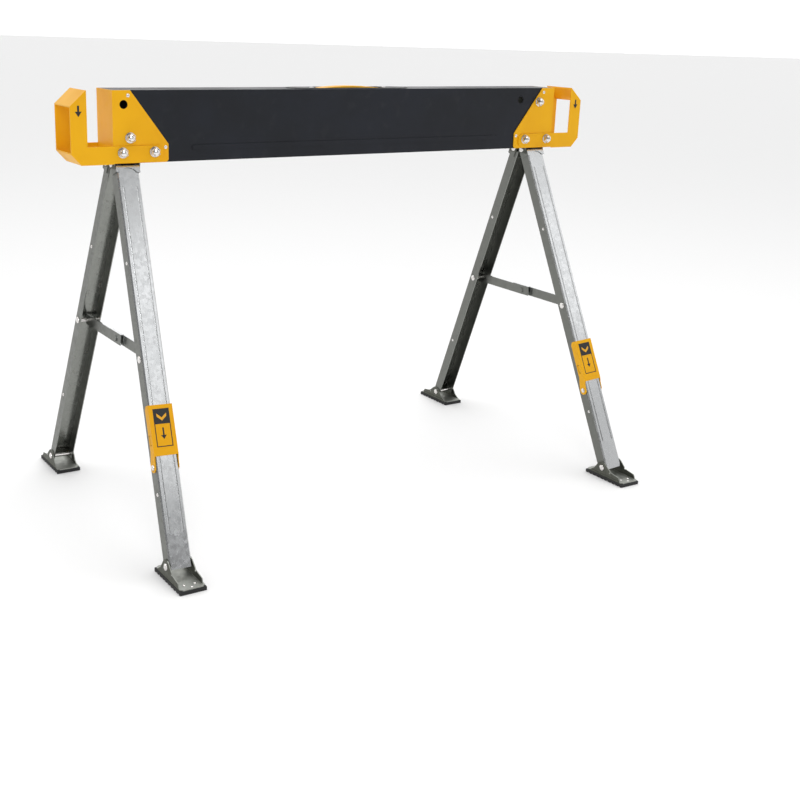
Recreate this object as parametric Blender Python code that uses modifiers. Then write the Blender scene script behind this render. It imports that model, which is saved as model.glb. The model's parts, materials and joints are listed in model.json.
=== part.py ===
"""Folding sawhorse: a channel beam with board brackets and two swinging, closing leg sets.

Frame: X along the beam, Y across it (front is -Y), Z up, origin on the floor under the beam.
"""

import math

import bmesh
import bpy
from mathutils import Matrix, Vector

MM = 0.001
GAP = 0.3 * MM

# Board brackets
SLOT_WIDTH = 46.7 * MM
SLOT_DEPTH = 95 * MM
BAR_HEIGHT = 31 * MM
ARM_WIDTH = 29.5 * MM
BRACKET_SHEET = 2 * MM
BRACKET_DROP = SLOT_DEPTH + BAR_HEIGHT
BAR_REACH = 92 * MM
ARM_TOP_SLOPE = (28.7 * MM, 26.3 * MM)
ARM_FOOT_SLOPE = (18 * MM, 19 * MM)

# Beam: its height follows the bracket's slot and bar
BEAM_LENGTH = 1000 * MM
BEAM_WIDTH = 74 * MM
BEAM_HEIGHT = BRACKET_DROP - 1 * MM
BEAM_TOP = 800 * MM
SHELL_SHEET = 1.5 * MM
PLATE_SHEET = 1.6 * MM
BEAD_LENGTH = BEAM_LENGTH - 300 * MM
BEAD_HEIGHT = 9 * MM
BEAD_DROP = BEAM_HEIGHT - 24 * MM

# End plates
GUSSET_TOP = 33 * MM
GUSSET_REACH = BAR_REACH + 11.5 * MM
GUSSET_DROP = BEAM_HEIGHT - 32 * MM

# Bolts
BOLT_RADIUS = 4 * MM
NUT_ACROSS_FLATS = 15 * MM
NUT_HEIGHT = 7 * MM
STUD_INSETS = (16.4 * MM, BAR_REACH - 16 * MM)
STUD_DROP = SLOT_DEPTH + 11.3 * MM

# Carrying handle
INSERT_LENGTH = 270 * MM
INSERT_WIDTH = BEAM_WIDTH - 22 * MM
INSERT_DEPTH = 14 * MM
INSERT_WALL = 2 * MM
INSERT_RISE = 1.2 * MM
SEAT_SINK = 0.3 * MM
SEAT_MARGIN = 6 * MM
WELL_HALF = INSERT_LENGTH / 2 - 58 * MM
WELL_WIDTH = INSERT_WIDTH - 16 * MM
GRIP_WIDTH = INSERT_WIDTH / 2
GRIP_RISE = 4.2 * MM
GRIP_THICK = 3.5 * MM

# Legs: two closed legs lie side by side in the channel
LEG_WIDTH = 41 * MM
LEG_DEPTH = BEAM_WIDTH / 2 - 12 * MM
LEG_SHEET = 1.6 * MM
LEG_HEAD = 12 * MM
LEG_TAIL = 6 * MM
PIN_RADIUS = 4 * MM
HEAD_RADIUS = 6.5 * MM
HEAD_HEIGHT = 2 * MM
CAP_SHEET = 1.5 * MM
CAP_TAIL = 19 * MM

# Yoke
YOKE_SHEET = 2 * MM
YOKE_HALF_X = LEG_WIDTH / 2 + 4.1 * MM
YOKE_HALF_Y = BEAM_WIDTH / 2 - 5.8 * MM
YOKE_HEAD = 10 * MM

# Leg sets: pivot inset from the beam end and drop below its top, left then right
PIVOT_INSET = {-1: YOKE_HALF_X + 6.9 * MM, 1: YOKE_HALF_X + 16.9 * MM}
PIVOT_DROP = {-1: BEAM_HEIGHT - 44 * MM, 1: 28.7 * MM}
FOOT_OVERHANG = 3.3 * MM
FOOT_X = BEAM_LENGTH / 2 + FOOT_OVERHANG
FOOT_PIN_Z = 25 * MM
HINGE_BELOW_BEAM = 3 * MM
LEG_DROP = BEAM_TOP - BEAM_HEIGHT - HINGE_BELOW_BEAM - FOOT_PIN_Z
HINGE_Y = LEG_DEPTH / 2 + 0.5 * MM
LEG_SLOPE = 286 / 647
FOOT_PIN_Y = HINGE_Y + LEG_DROP * LEG_SLOPE
LEG_LENGTH = math.hypot(FOOT_PIN_Y - HINGE_Y, LEG_DROP)

# Lock buttons: each hole's inset and drop on the beam, where the button lies once folded
BUTTON_RADIUS = 6.5 * MM
BUTTON_CLEARANCE = 1.4 * MM
BUTTON_HOLE = {-1: (20.9 * MM, 24.1 * MM), 1: (90.1 * MM, 24.3 * MM)}
BUTTON_SPOT = {
    side: (side * (BUTTON_HOLE[side][1] - PIVOT_DROP[side]), PIVOT_INSET[side] - BUTTON_HOLE[side][0])
    for side in (-1, 1)
}

# Spreader
LINK_DOWN = LEG_LENGTH * 0.4948
LINK_HEIGHT = LEG_DEPTH * 0.8
LINK_SHEET = 3 * MM
STOP_SHEET = 1.5 * MM
STOP_LENGTH = 52 * MM

# Latch on each front leg
LATCH_PIVOT = LEG_LENGTH - 169.4 * MM
LATCH_TOP = LATCH_PIVOT - 106 * MM
LATCH_FOOT = LATCH_PIVOT - 18 * MM
LATCH_SHEET = 1.3 * MM
LATCH_DEPTH = LEG_DEPTH * 0.6
HOOK_SLOT = ((1, 9), (6, 9), (6, 7.5), (2.5, 7.5), (2.5, -7.5), (6, -7.5), (6, -9), (1, -9))

# Feet
FOOT_LENGTH = 105 * MM
FOOT_WIDTH = LEG_WIDTH + 6 * MM
FOOT_SHEET = 2.2 * MM
FOOT_OFFSET = 9 * MM
PAD_HEIGHT = 6.7 * MM

YELLOW = (0.85, 0.56, 0.02, 1)
BLACK = (0.03, 0.033, 0.038, 1)
STEEL = (0.42, 0.43, 0.4, 1)
CHROME = (0.75, 0.76, 0.77, 1)
RUBBER = (0.015, 0.015, 0.015, 1)

SIDE_NAME = {-1: "left", 1: "right"}
ROW_NAME = {-1: "front", 1: "rear"}


def clear_scene():
    for obj in list(bpy.data.objects):
        bpy.data.objects.remove(obj, do_unlink=True)


def collection(name):
    made = bpy.data.collections.new(name)
    bpy.context.scene.collection.children.link(made)
    return made


def material(name, colour, metallic, roughness):
    made = bpy.data.materials.new(name)
    made.use_nodes = True
    shader = made.node_tree.nodes["Principled BSDF"]
    shader.inputs["Base Color"].default_value = colour
    shader.inputs["Metallic"].default_value = metallic
    shader.inputs["Roughness"].default_value = roughness
    return made


def box(bm, low, high):
    """A box between two corners."""
    size = [b - a for a, b in zip(low, high)]
    middle = [(a + b) / 2 for a, b in zip(low, high)]
    place = Matrix.Translation(middle) @ Matrix.Diagonal((*size, 1))
    bmesh.ops.create_cube(bm, size=1, matrix=place)


def prism(bm, outline, axis, start, end):
    """An outline drawn across one axis, extruded along it."""
    order = {
        "X": lambda a, b: (start, a, b),
        "Y": lambda a, b: (a, start, b),
        "Z": lambda a, b: (a, b, start),
    }
    face = bm.faces.new([bm.verts.new(order[axis](*point)) for point in outline])
    shift = Vector([end - start if name == axis else 0 for name in "XYZ"])
    moved = bmesh.ops.extrude_face_region(bm, geom=[face])
    bmesh.ops.translate(bm, vec=shift, verts=[v for v in moved["geom"] if isinstance(v, bmesh.types.BMVert)])


def turned(axis):
    """The turn that points a +Z primitive along an axis."""
    return {
        "X": Matrix.Rotation(math.pi / 2, 4, "Y"),
        "Y": Matrix.Rotation(-math.pi / 2, 4, "X"),
        "Z": Matrix.Identity(4),
    }[axis]


def cylinder(bm, centre, axis, radius, start, end, segments=24):
    """A cylinder on a line through centre, from start to end along the axis."""
    middle = Vector(centre)
    middle["XYZ".index(axis)] = (start + end) / 2
    bmesh.ops.create_cone(
        bm,
        cap_ends=True,
        segments=segments,
        radius1=radius,
        radius2=radius,
        depth=abs(end - start),
        matrix=Matrix.Translation(middle) @ turned(axis),
    )


def lathe(bm, profile, centre, axis, segments=24):
    """A closed solid turned from (radius, height) steps about an axis through centre."""
    place = Matrix.Translation(centre) @ turned(axis)
    verts = [bm.verts.new((radius, 0, height)) for radius, height in profile]
    edges = [bm.edges.new(pair) for pair in zip(verts, verts[1:])]
    bmesh.ops.spin(
        bm,
        geom=verts + edges,
        cent=(0, 0, 0),
        axis=(0, 0, 1),
        angle=math.tau,
        steps=segments,
        use_merge=True,
    )
    bmesh.ops.remove_doubles(bm, verts=bm.verts, dist=1e-6)
    bmesh.ops.transform(bm, matrix=place, verts=bm.verts)


def cut(target, cutter_bm, operation="DIFFERENCE"):
    """A live Boolean on the target, in the target's own frame."""
    mesh = bpy.data.meshes.new(target.name + "_tool")
    bmesh.ops.recalc_face_normals(cutter_bm, faces=cutter_bm.faces)
    cutter_bm.to_mesh(mesh)
    cutter_bm.free()
    tool = bpy.data.objects.new(f"{target.name}_tool_{len(target.modifiers)}", mesh)
    TOOLS.objects.link(tool)
    tool.matrix_world = target.matrix_world
    tool.hide_render = True
    tool.display_type = "WIRE"
    modifier = target.modifiers.new(operation.title(), "BOOLEAN")
    modifier.operation = operation
    modifier.solver = "EXACT"
    modifier.use_self = True
    modifier.object = tool


def part(name, bm, finish, frame=None):
    """A named piece whose origin is its frame's origin."""
    bmesh.ops.recalc_face_normals(bm, faces=bm.faces)
    mesh = bpy.data.meshes.new(name)
    bm.to_mesh(mesh)
    bm.free()
    obj = bpy.data.objects.new(name, mesh)
    mesh.materials.append(material(name, *finish))
    PIECES.objects.link(obj)
    obj.matrix_world = frame or Matrix.Identity(4)
    return obj


FINISH_YELLOW = (YELLOW, 0.0, 0.42)
FINISH_BLACK = (BLACK, 0.0, 0.5)
FINISH_STEEL = (STEEL, 0.85, 0.45)
FINISH_CHROME = (CHROME, 1.0, 0.18)
FINISH_RUBBER = (RUBBER, 0.0, 0.8)


def beam_z(drop):
    return BEAM_TOP - drop


def stadium(length, height, steps=8):
    """Outline of a bar with round ends, centred on the origin."""
    reach = length / 2 - height / 2
    points = []
    for end, first in ((1, -90), (-1, 90)):
        for step in range(steps + 1):
            turn = math.radians(first + 180 * step / steps)
            points.append((end * reach + math.cos(turn) * height / 2, math.sin(turn) * height / 2))
    return points


def shell_half():
    return BEAM_WIDTH / 2 - PLATE_SHEET - GAP


def set_frame(side):
    """Frame of a leg set: origin on its pivot, local down leaning outwards."""
    inset = PIVOT_INSET[side]
    rise = beam_z(PIVOT_DROP[side]) - FOOT_PIN_Z
    lean = math.atan2(FOOT_X - BEAM_LENGTH / 2 + inset, rise)
    place = Vector((side * (BEAM_LENGTH / 2 - inset), 0, beam_z(PIVOT_DROP[side])))
    return Matrix.Translation(place) @ Matrix.Rotation(-side * lean, 4, "Y")


def set_reach(side):
    """Distance from the pivot down to the line through both foot pins."""
    rise = beam_z(PIVOT_DROP[side]) - FOOT_PIN_Z
    return math.hypot(rise, FOOT_X - BEAM_LENGTH / 2 + PIVOT_INSET[side])


def hinge_down(side):
    return set_reach(side) - LEG_DROP


def splay():
    return math.atan2(FOOT_PIN_Y - HINGE_Y, LEG_DROP)


def leg_frame(side, row):
    """Frame of a leg: origin on its hinge pin, local down along the leg."""
    hinge = Matrix.Translation((0, row * HINGE_Y, -hinge_down(side)))
    return set_frame(side) @ hinge @ Matrix.Rotation(row * splay(), 4, "X")


def on_leg(side, row, down, out=0):
    return leg_frame(side, row) @ Matrix.Translation((0, row * out, -down))


def level(frame):
    """The same origin and X axis, turned about X until local Y is horizontal."""
    along = (frame.to_3x3() @ Vector((1, 0, 0))).normalized()
    across = Vector((0, 1, 0))
    up = along.cross(across).normalized()
    turn = Matrix((along, across, up)).transposed()
    return Matrix.Translation(frame.translation) @ turn.to_4x4()


def build_shell():
    half = shell_half()
    inner = half - SHELL_SHEET
    low = beam_z(BEAM_HEIGHT)
    top = beam_z(0)
    reach = BEAM_LENGTH / 2 - PLATE_SHEET - GAP
    outline = [
        (-half, low),
        (-half, top),
        (half, top),
        (half, low),
        (inner, low),
        (inner, top - SHELL_SHEET),
        (-inner, top - SHELL_SHEET),
        (-inner, low),
    ]
    bm = bmesh.new()
    prism(bm, outline, "X", -reach, reach)
    shell = part("beam_shell", bm, FINISH_BLACK)
    ridge = bmesh.new()
    groove = bmesh.new()
    mid = beam_z(BEAD_DROP)
    for row in (-1, 1):
        bead = [(x, mid + z) for x, z in stadium(BEAD_LENGTH, BEAD_HEIGHT)]
        thin = [(x, mid + z) for x, z in stadium(BEAD_LENGTH - 3 * MM, BEAD_HEIGHT - 3 * MM)]
        prism(ridge, bead, "Y", row * (half - 0.7 * MM), row * (half + 1.2 * MM))
        prism(groove, thin, "Y", row * (inner - 1 * MM), row * (half - 0.3 * MM))
    cut(shell, ridge, "UNION")
    holes = bmesh.new()
    for row in (-1, 1):
        for side in (-1, 1):
            spots = [(inset, STUD_DROP, BOLT_RADIUS) for inset in STUD_INSETS]
            spots.append((PIVOT_INSET[side], PIVOT_DROP[side], BOLT_RADIUS))
            spots.append((*BUTTON_HOLE[side], BUTTON_RADIUS + 0.4 * MM))
            for inset, drop, radius in spots:
                spot = (side * (BEAM_LENGTH / 2 - inset), 0, beam_z(drop))
                cylinder(holes, spot, "Y", radius + GAP, row * (inner - 2 * MM), row * (half + 2 * MM))
    opening = stadium(INSERT_LENGTH - 12 * MM, INSERT_WIDTH - 10 * MM)
    prism(holes, opening, "Z", beam_z(4 * MM), beam_z(-2 * MM))
    seat = bmesh.new()
    around = stadium(INSERT_LENGTH + SEAT_MARGIN, INSERT_WIDTH + SEAT_MARGIN)
    prism(seat, around, "Z", beam_z(SEAT_SINK), beam_z(-2 * MM))
    cut(shell, groove)
    cut(shell, holes)
    cut(shell, seat)


def build_end_plate(side):
    half = BEAM_WIDTH / 2
    end = side * BEAM_LENGTH / 2
    gusset = [
        (end, beam_z(BEAM_HEIGHT)),
        (end, beam_z(0)),
        (end - side * GUSSET_TOP, beam_z(0)),
        (end - side * GUSSET_REACH, beam_z(GUSSET_DROP)),
        (end - side * GUSSET_REACH, beam_z(BEAM_HEIGHT - 4 * MM)),
        (end - side * (GUSSET_REACH - 4 * MM), beam_z(BEAM_HEIGHT)),
    ]
    bm = bmesh.new()
    prism(bm, gusset, "Y", -half, half)
    plate = part(f"end_plate_{SIDE_NAME[side]}", bm, FINISH_YELLOW)
    core = bmesh.new()
    inside = half - PLATE_SHEET
    near = sorted((end - side * PLATE_SHEET, end - side * (GUSSET_REACH + 10 * MM)))
    box(core, (near[0], -inside, beam_z(BEAM_HEIGHT + 5 * MM)), (near[1], inside, beam_z(-5 * MM)))
    cut(plate, core)
    holes = bmesh.new()
    spots = [(inset, STUD_DROP, BOLT_RADIUS) for inset in STUD_INSETS]
    spots.append((PIVOT_INSET[side], PIVOT_DROP[side], BOLT_RADIUS))
    if BUTTON_HOLE[side][0] < GUSSET_TOP:
        spots.append((*BUTTON_HOLE[side], BUTTON_RADIUS + 0.8 * MM))
    for inset, drop, radius in spots:
        spot = (side * (BEAM_LENGTH / 2 - inset), 0, beam_z(drop))
        for row in (-1, 1):
            reach = (row * (inside - 2 * MM), row * (half + 2 * MM))
            cylinder(holes, spot, "Y", radius + GAP, *reach)
    cut(plate, holes)


def bracket_outline(side):
    """The J of one cheek: the bar along the beam, the slot and the upright arm."""
    end = BEAM_LENGTH / 2
    tip = end + SLOT_WIDTH + ARM_WIDTH
    low = beam_z(BRACKET_DROP)
    seat = beam_z(SLOT_DEPTH)
    shape = [
        (tip - ARM_FOOT_SLOPE[0], low),
        (tip, low + ARM_FOOT_SLOPE[1]),
        (tip, beam_z(ARM_TOP_SLOPE[1])),
        (tip - ARM_TOP_SLOPE[0], beam_z(0)),
        (end + SLOT_WIDTH, beam_z(0)),
        (end + SLOT_WIDTH, seat),
        (end - BAR_REACH + 8 * MM, seat),
        (end - BAR_REACH, seat - 8 * MM),
        (end - BAR_REACH, low + 10 * MM),
        (end - BAR_REACH + 8 * MM, low + 2 * MM),
        (end - 4 * MM, low + 2 * MM),
        (end + 2 * MM, low),
    ]
    return [(side * x, z) for x, z in shape]


def build_bracket(side):
    half = BEAM_WIDTH / 2 + GAP + BRACKET_SHEET
    inside = half - BRACKET_SHEET
    end = BEAM_LENGTH / 2
    tip = end + SLOT_WIDTH + ARM_WIDTH
    bm = bmesh.new()
    prism(bm, bracket_outline(side), "Y", -half, half)
    bracket = part(f"board_bracket_{SIDE_NAME[side]}", bm, FINISH_YELLOW)
    sheet = BRACKET_SHEET
    low = beam_z(BRACKET_DROP)
    room = [
        (end - BAR_REACH - 9 * MM, low - 9 * MM),
        (tip - ARM_FOOT_SLOPE[0] - sheet, low - 9 * MM),
        (tip - ARM_FOOT_SLOPE[0] - sheet, low + sheet),
        (tip - sheet, low + ARM_FOOT_SLOPE[1] + sheet),
        (tip + 9 * MM, low + ARM_FOOT_SLOPE[1] + sheet),
        (tip + 9 * MM, beam_z(ARM_TOP_SLOPE[1] + sheet)),
        (tip - sheet, beam_z(ARM_TOP_SLOPE[1] + sheet)),
        (tip - ARM_TOP_SLOPE[0] - sheet, beam_z(sheet)),
        (tip - ARM_TOP_SLOPE[0] - sheet, beam_z(-9 * MM)),
        (end - BAR_REACH - 9 * MM, beam_z(-9 * MM)),
    ]
    core = bmesh.new()
    prism(core, [(side * x, z) for x, z in room], "Y", -inside, inside)
    cut(bracket, core)
    holes = bmesh.new()
    for inset in STUD_INSETS:
        spot = (side * (end - inset), 0, beam_z(STUD_DROP))
        for row in (-1, 1):
            reach = (row * (inside - 2 * MM), row * (half + 2 * MM))
            cylinder(holes, spot, "Y", BOLT_RADIUS + GAP, *reach)
    cut(bracket, holes)


def nut_profile(start, seat):
    """Shank from start up to seat, then the round under the hexagon and the dome."""
    flat = NUT_ACROSS_FLATS / 2
    base = seat + NUT_HEIGHT
    dome = [(flat * 0.94 * math.cos(a), base + flat * 0.8 * math.sin(a)) for a in (0, 0.4, 0.8, 1.2)]
    return [
        (0, start),
        (BOLT_RADIUS, start),
        (BOLT_RADIUS, seat),
        (flat * 1.25, seat),
        (flat * 1.25, seat + 1 * MM),
        (flat * 0.94, seat + 1 * MM),
        *dome,
        (0, base + flat * 0.8),
    ]


def hexagon(bm, spot, start, end):
    cylinder(bm, spot, "Y", NUT_ACROSS_FLATS / math.sqrt(3), start, end, segments=6)


def build_stud(side, row, number):
    """A short stud through one wall with its acorn nut."""
    spot = (side * (BEAM_LENGTH / 2 - STUD_INSETS[number]), 0, beam_z(STUD_DROP))
    seat = BEAM_WIDTH / 2 + 2 * GAP + BRACKET_SHEET
    bm = bmesh.new()
    lathe(bm, nut_profile(shell_half() - SHELL_SHEET, seat), (0, 0, 0), "Y")
    if row < 0:
        bmesh.ops.scale(bm, vec=(1, -1, 1), verts=bm.verts)
    bmesh.ops.translate(bm, vec=spot, verts=bm.verts)
    letter = "bc"[number]
    stud = part(f"stud_{letter}_{ROW_NAME[row]}_{SIDE_NAME[side]}", bm, FINISH_CHROME)
    hexes = bmesh.new()
    hexagon(hexes, spot, row * (seat + 0.6 * MM), row * (seat + NUT_HEIGHT))
    cut(stud, hexes, "UNION")


def build_pivot_bolt(side):
    """The through bolt a leg set swings on, with an acorn nut at each end."""
    spot = (side * (BEAM_LENGTH / 2 - PIVOT_INSET[side]), 0, beam_z(PIVOT_DROP[side]))
    seat = BEAM_WIDTH / 2 + GAP
    half = nut_profile(0, seat)[2:]
    profile = [(radius, -height) for radius, height in reversed(half)] + half
    bm = bmesh.new()
    lathe(bm, profile, (0, 0, 0), "Y")
    bmesh.ops.translate(bm, vec=spot, verts=bm.verts)
    bolt = part(f"pivot_bolt_{SIDE_NAME[side]}", bm, FINISH_CHROME)
    hexes = bmesh.new()
    for row in (-1, 1):
        hexagon(hexes, spot, row * (seat + 0.6 * MM), row * (seat + NUT_HEIGHT))
    cut(bolt, hexes, "UNION")


def build_handle():
    """The black insert with its well, and the arched grip that spans the well."""
    bm = bmesh.new()
    flange = stadium(INSERT_LENGTH, INSERT_WIDTH)
    prism(bm, flange, "Z", beam_z(SEAT_SINK - GAP), beam_z(-INSERT_RISE))
    insert = part("handle_insert", bm, FINISH_BLACK)
    tub = bmesh.new()
    well = stadium(INSERT_LENGTH - 14 * MM, INSERT_WIDTH - 12 * MM)
    prism(tub, well, "Z", beam_z(INSERT_DEPTH), beam_z(-0.5 * INSERT_RISE))
    cut(insert, tub, "UNION")
    hollow = bmesh.new()
    wide = WELL_WIDTH / 2
    floor = beam_z(INSERT_DEPTH - INSERT_WALL)
    box(hollow, (-WELL_HALF, -wide, floor), (WELL_HALF, wide, beam_z(-INSERT_RISE - 3 * MM)))
    cut(insert, hollow)
    end = WELL_HALF - GAP
    drop = GRIP_RISE + 0.6 * MM
    arch = [(end * step, GRIP_RISE - drop * step * step) for step in (1, 0.85, 0.7, 0.5, 0.25, 0)]
    over = arch + [(-x, z) for x, z in reversed(arch[:-1])]
    under = [(x, z - GRIP_THICK) for x, z in reversed(over)]
    bm = bmesh.new()
    prism(bm, [(x, BEAM_TOP + z) for x, z in over + under], "Y", -GRIP_WIDTH / 2, GRIP_WIDTH / 2)
    grip = part("carry_grip", bm, FINISH_YELLOW)
    soft = grip.modifiers.new("Bevel", "BEVEL")
    soft.width = 0.8 * MM
    soft.segments = 2
    soft.angle_limit = math.radians(60)


def build_yoke(side):
    """The open box that swings on the pivot bolt and carries both leg hinges."""
    down = hinge_down(side)
    tail = -down - 8 * MM
    bm = bmesh.new()
    box(bm, (-YOKE_HALF_X, -YOKE_HALF_Y, tail), (YOKE_HALF_X, YOKE_HALF_Y, YOKE_HEAD))
    yoke = part(f"yoke_{SIDE_NAME[side]}", bm, FINISH_STEEL, set_frame(side))
    arm_x, arm_z = BUTTON_SPOT[side]
    if abs(arm_x) > YOKE_HALF_X:
        arm = bmesh.new()
        reach = arm_x + 11 * MM
        outline = [
            (0, YOKE_HEAD),
            (arm_x - 12 * MM, arm_z + 11 * MM),
            (reach - 4 * MM, arm_z + 11 * MM),
            (reach, arm_z + 7 * MM),
            (reach, arm_z - 7 * MM),
            (reach - 4 * MM, arm_z - 11 * MM),
            (YOKE_HALF_X - 2 * MM, -14 * MM),
            (0, -14 * MM),
        ]
        prism(arm, outline, "Y", -YOKE_HALF_Y, -YOKE_HALF_Y + YOKE_SHEET)
        cut(yoke, arm, "UNION")
    core = bmesh.new()
    inner_x = YOKE_HALF_X - YOKE_SHEET
    inner_y = YOKE_HALF_Y - YOKE_SHEET
    box(core, (-inner_x, -inner_y, tail - 9 * MM), (inner_x, inner_y, YOKE_HEAD + 9 * MM))
    cut(yoke, core)
    trim = bmesh.new()
    for row in (-1, 1):
        wall = sorted((row * (inner_y - 3 * MM), row * (YOKE_HALF_Y + 5 * MM)))
        box(trim, (-50 * MM, wall[0], tail - 9 * MM), (50 * MM, wall[1], -down + 12 * MM))
    box(trim, (-50 * MM, -4 * MM, tail - 9 * MM), (50 * MM, 4 * MM, -down + 2 * MM))
    cut(yoke, trim)
    holes = bmesh.new()
    for row in (-1, 1):
        wall = (row * (inner_y - 2 * MM), row * (YOKE_HALF_Y + 2 * MM))
        cylinder(holes, (0, 0, 0), "Y", BOLT_RADIUS + GAP, *wall)
        for hand in (-1, 1):
            flange = (hand * (inner_x - 2 * MM), hand * (YOKE_HALF_X + 2 * MM))
            cylinder(holes, (0, row * HINGE_Y, -down), "X", PIN_RADIUS + GAP, *flange)
    button = (arm_x, 0, arm_z)
    cylinder(holes, button, "Y", BUTTON_RADIUS + GAP, -YOKE_HALF_Y - 2 * MM, -inner_y + 2 * MM)
    cut(yoke, holes)


def cross_pin(name, frame, reach, radius=PIN_RADIUS, head=HEAD_RADIUS, finish=FINISH_CHROME):
    """A pin along local X with a low domed head on each end."""
    half = [
        (radius, reach),
        (head, reach),
        (head * 0.94, reach + HEAD_HEIGHT * 0.5),
        (head * 0.6, reach + HEAD_HEIGHT),
        (0, reach + HEAD_HEIGHT),
    ]
    profile = [(r, -h) for r, h in reversed(half)] + half
    bm = bmesh.new()
    lathe(bm, profile, (0, 0, 0), "X", segments=20)
    return part(name, bm, finish, frame)


def build_leg(side, row):
    """A formed channel, open towards the other leg, with a ribbed face and pinned ends."""
    half = LEG_WIDTH / 2
    depth = LEG_DEPTH / 2
    inner = half - LEG_SHEET
    length = LEG_LENGTH
    corner = 2.2 * MM
    outline = [
        (-half, -depth),
        (-half, depth - corner),
        (-half + corner, depth),
        (half - corner, depth),
        (half, depth - corner),
        (half, -depth),
        (inner, -depth),
        (inner, depth - LEG_SHEET),
        (-inner, depth - LEG_SHEET),
        (-inner, -depth),
    ]
    bm = bmesh.new()
    prism(bm, [(x, row * y) for x, y in outline], "Z", LEG_HEAD, -length - LEG_TAIL)
    name = f"{ROW_NAME[row]}_{SIDE_NAME[side]}"
    leg = part(f"leg_{name}", bm, FINISH_STEEL, leg_frame(side, row))
    trim = bmesh.new()
    edge = -depth - 1 * MM
    bevel = [(edge, 0.5 * MM), (-depth * 0.4, LEG_HEAD + 1 * MM), (edge, LEG_HEAD + 1 * MM)]
    prism(trim, [(row * y, z) for y, z in bevel], "X", -half - 2 * MM, half + 2 * MM)
    for hand in (-1, 1):
        groove = (hand * half * 0.62, row * (depth + 0.5 * MM), 0)
        cylinder(trim, groove, "Z", 1.5 * MM, -45 * MM, -length + 55 * MM, segments=12)
    for hand in (-1, 1):
        wall = (hand * (inner - 2 * MM), hand * (half + 2 * MM))
        for down in (0, LINK_DOWN, length):
            cylinder(trim, (0, 0, -down), "X", PIN_RADIUS + GAP, *wall)
        if row < 0:
            pivot = (0, row * 2 * MM, -LATCH_PIVOT)
            cylinder(trim, pivot, "X", 3 * MM + GAP, *wall, segments=16)
    cut(leg, trim)
    cap_half = half + GAP + CAP_SHEET
    cap_out = depth + GAP + CAP_SHEET
    bm = bmesh.new()
    low, high = sorted((row * cap_out, row * -6 * MM))
    box(bm, (-cap_half, low, -CAP_TAIL), (cap_half, high, LEG_HEAD - 1 * MM))
    cap = part(f"leg_cap_{name}", bm, FINISH_STEEL, leg_frame(side, row))
    core = bmesh.new()
    low, high = sorted((row * (depth + GAP), row * -20 * MM))
    box(core, (-half - GAP, low, -CAP_TAIL - 9 * MM), (half + GAP, high, LEG_HEAD + 9 * MM))
    for hand in (-1, 1):
        wall = (hand * (half - 2 * MM), hand * (cap_half + 2 * MM))
        cylinder(core, (0, 0, 0), "X", PIN_RADIUS + GAP, *wall)
    cut(cap, core)
    arch = bmesh.new()
    wall = (row * (depth - 4 * MM), row * (cap_out + 4 * MM))
    cylinder(arch, (0, 0, -CAP_TAIL - 12 * MM), "Y", 20 * MM, *wall, segments=40)
    cut(cap, arch)
    hinge = YOKE_HALF_X + GAP
    pin_frame = set_frame(side) @ Matrix.Translation((0, row * HINGE_Y, -hinge_down(side)))
    cross_pin(f"hinge_pin_{name}", pin_frame, hinge)
    cross_pin(f"link_pin_{name}", on_leg(side, row, LINK_DOWN), half + GAP)


def link_span():
    """Distance from a link pin to the middle joint, along the level link."""
    return HINGE_Y + LINK_DOWN * math.sin(splay())


def build_spreader(side):
    """Two level links from the leg pins to the middle joint, and the stop channel over it."""
    span = link_span()
    name = SIDE_NAME[side]
    sheet = LINK_SHEET / 2
    end = LINK_HEIGHT / 2
    step = 2 * sheet + STOP_SHEET + 2 * GAP
    for row in (-1, 1):
        shift = step if row < 0 else 0
        reach = row * -1
        path = [
            (-end, -sheet),
            (20 * MM, -sheet),
            (32 * MM, shift - sheet),
            (span + end, shift - sheet),
            (span + end, shift + sheet),
            (32 * MM - 1 * MM, shift + sheet),
            (20 * MM - 1 * MM, sheet),
            (-end, sheet),
        ]
        if row > 0:
            path = [(-end, -sheet), (span + end, -sheet), (span + end, sheet), (-end, sheet)]
        bm = bmesh.new()
        prism(bm, [(x, reach * y) for y, x in path], "Z", -end, end)
        frame = level(on_leg(side, row, LINK_DOWN))
        link = part(f"spreader_link_{ROW_NAME[row]}_{name}", bm, FINISH_STEEL, frame)
        bar = [(reach * (y + span / 2), z) for y, z in stadium(span + 2 * end, LINK_HEIGHT)]
        round_bar = bmesh.new()
        prism(round_bar, bar, "X", -20 * MM, 20 * MM)
        cut(link, round_bar, "INTERSECT")
        centre = (0, reach * span, 0)
        face = shift + sheet if row < 0 else -sheet - 2 * GAP - STOP_SHEET
        grow = 2 * MM if row < 0 else -2 * MM
        shank = bmesh.new()
        cylinder(shank, centre, "X", 3 * MM, row * -0.5 * sheet + shift, face + grow / 2, segments=20)
        cut(link, shank, "UNION")
        rivet = bmesh.new()
        start = face - 1 * MM if row < 0 else face
        cylinder(rivet, centre, "X", 5.5 * MM, start, face + grow, segments=20)
        cut(link, rivet, "UNION")
        hole = bmesh.new()
        cylinder(hole, (0, 0, 0), "X", PIN_RADIUS + GAP, -9 * MM, 9 * MM)
        cut(link, hole)
    frame = level(on_leg(side, 1, LINK_DOWN))
    outer = sheet + GAP + STOP_SHEET
    inner = sheet + GAP
    start, stop = sorted((-span - STOP_LENGTH * 0.45, -span + STOP_LENGTH * 0.55))
    bm = bmesh.new()
    box(bm, (-outer, start, -end * 0.9), (outer, stop, end + GAP + STOP_SHEET))
    channel = part(f"stop_channel_{name}", bm, FINISH_STEEL, frame)
    core = bmesh.new()
    box(core, (-inner, start - 5 * MM, -end * 2), (inner, stop + 5 * MM, end + GAP))
    cut(channel, core)
    hole = bmesh.new()
    cylinder(hole, (0, -span, 0), "X", 3 * MM + GAP, -outer - 2 * MM, -inner + 0.5 * MM)
    cut(channel, hole)


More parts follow.
